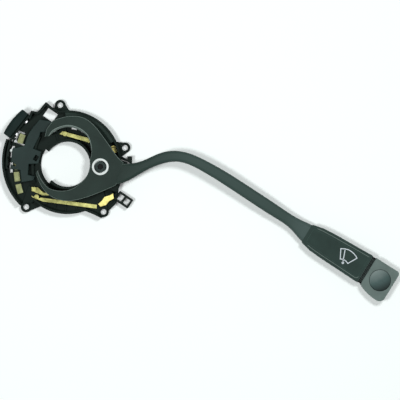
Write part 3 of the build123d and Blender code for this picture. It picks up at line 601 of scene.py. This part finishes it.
BOSS_PROFILE = [(2.35, 4.9), (2.35, 5.35), (2.6, 5.5), (3.3, 5.5), (3.55, 5.3), (3.55, 4.9)]
BOSS_STEPS = 40


def lug_places():
    """Centres of the four fixing holes, from the part's own mounts."""
    mounts = {mount["name"]: mount for mount in frame["record"]["mounts"]}
    places = {}
    for side in ("right", "left"):
        pattern = mounts["lug_holes_" + side]
        x, y = pattern["pos_m"][:2]
        half = pattern["dims"]["spacing_y_mm"] / 2 * MM
        places["upper_" + side] = (x, y + half)
        places["lower_" + side] = (x, y - half)
    return places


def lug_bosses(material):
    """Raised ring round each fixing hole."""
    for side, place in lug_places().items():
        mesh = swept_band("lug_boss_" + side, BOSS_PROFILE, 0.0, 360.0, BOSS_STEPS, place)
        add_piece("lug_boss_" + side, mesh, "root", material)


# ---------------------------------------------------------------- stage

def area_light(name, place, aim):
    lamp = bpy.data.lights.new(name, "AREA")
    lamp.shape = "DISK"
    lamp.size = LAMP_SIZE
    lamp.energy = LAMP_POWER
    holder = bpy.data.objects.new(name, lamp)
    bpy.context.scene.collection.objects.link(holder)
    holder.location = place
    holder.rotation_euler = (Vector(aim) - Vector(place)).to_track_quat("-Z", "Y").to_euler()


def turned(x, y):
    """Direction on the picture, x to the right and y up, in the part's frame."""
    return (x * math.cos(VIEW_TURN) - y * math.sin(VIEW_TURN),
            x * math.sin(VIEW_TURN) + y * math.cos(VIEW_TURN))


def set_lights():
    """Two soft lamps, one from the upper right and one from the left, that throw two shadows."""
    centre = (CAMERA_AT[0], CAMERA_AT[1], 0.0)
    for name, slope in LAMP_SLOPES.items():
        x, y = turned(slope[0] * LAMP_HEIGHT, slope[1] * LAMP_HEIGHT)
        area_light(name, (centre[0] + x, centre[1] + y, LAMP_HEIGHT), centre)


def white_for_camera(tree, strength):
    """Strength of a white that only camera, glossy and transmission rays see."""
    path = tree.nodes.new("ShaderNodeLightPath")
    seen = path.outputs["Is Camera Ray"]
    for key in ("Is Glossy Ray", "Is Transmission Ray"):
        either = tree.nodes.new("ShaderNodeMath")
        either.operation = "MAXIMUM"
        link(tree, seen, either.inputs[0])
        link(tree, path.outputs[key], either.inputs[1])
        seen = either.outputs["Value"]
    amount = tree.nodes.new("ShaderNodeMath")
    amount.operation = "MULTIPLY"
    amount.inputs[1].default_value = strength
    link(tree, seen, amount.inputs[0])
    return amount.outputs["Value"]


def set_world():
    """Plain pale surroundings that look white to the camera."""
    world = bpy.data.worlds.new("studio")
    bpy.context.scene.world = world
    world.use_nodes = True
    tree = world.node_tree
    background = tree.nodes["Background"]
    background.inputs["Color"].default_value = (1, 1, 1, 1)
    lift = white_for_camera(tree, 1.0 - AMBIENT)
    total = tree.nodes.new("ShaderNodeMath")
    total.operation = "ADD"
    total.inputs[1].default_value = AMBIENT
    link(tree, lift, total.inputs[0])
    link(tree, total.outputs["Value"], background.inputs["Strength"])


def make_floor():
    """Plain pale floor that shows the part's shadow."""
    build = bmesh.new()
    corners = ((-1, -1), (1, -1), (1, 1), (-1, 1))
    build.faces.new([build.verts.new((FLOOR_MID_X + x * FLOOR_HALF, y * FLOOR_HALF, FLOOR_Z))
                     for x, y in corners])
    mesh = bpy.data.meshes.new("floor")
    build.to_mesh(mesh)
    build.free()
    floor = bpy.data.objects.new("floor", mesh)
    bpy.context.scene.collection.objects.link(floor)
    material, tree, shader = new_material("floor_white")
    shader.inputs["Base Color"].default_value = FLOOR_PALE
    shader.inputs["Roughness"].default_value = 0.9
    shader.inputs["Specular IOR Level"].default_value = 0.0
    shader.inputs["Emission Color"].default_value = (1, 1, 1, 1)
    link(tree, white_for_camera(tree, FLOOR_LIFT), shader.inputs["Emission Strength"])
    mesh.materials.append(material)


def set_camera():
    """Long lens straight above the part, turned so that the stalk runs down to the right."""
    lens = bpy.data.cameras.new("camera")
    lens.lens = CAMERA_LENS
    lens.sensor_width = CAMERA_SENSOR
    lens.clip_start = CAMERA_NEAR
    lens.clip_end = CAMERA_FAR
    camera = bpy.data.objects.new("camera", lens)
    bpy.context.scene.collection.objects.link(camera)
    camera.location = CAMERA_AT
    camera.rotation_euler = (0.0, 0.0, VIEW_TURN)
    bpy.context.scene.camera = camera
    bpy.context.scene.view_settings.view_transform = "Standard"


materials = make_materials()
dress_nodes(materials)
windscreen_symbol(materials["printed_ink"])
face_beads(materials["highlight_bead"])
painted_groove_strip(materials["painted_groove_shade"])
yoke_lip(materials["highlight_bead"])
rim_cap(materials["rim_plastic"])
lug_bosses(materials["base_plastic"])
set_world()
set_lights()
make_floor()
set_camera()
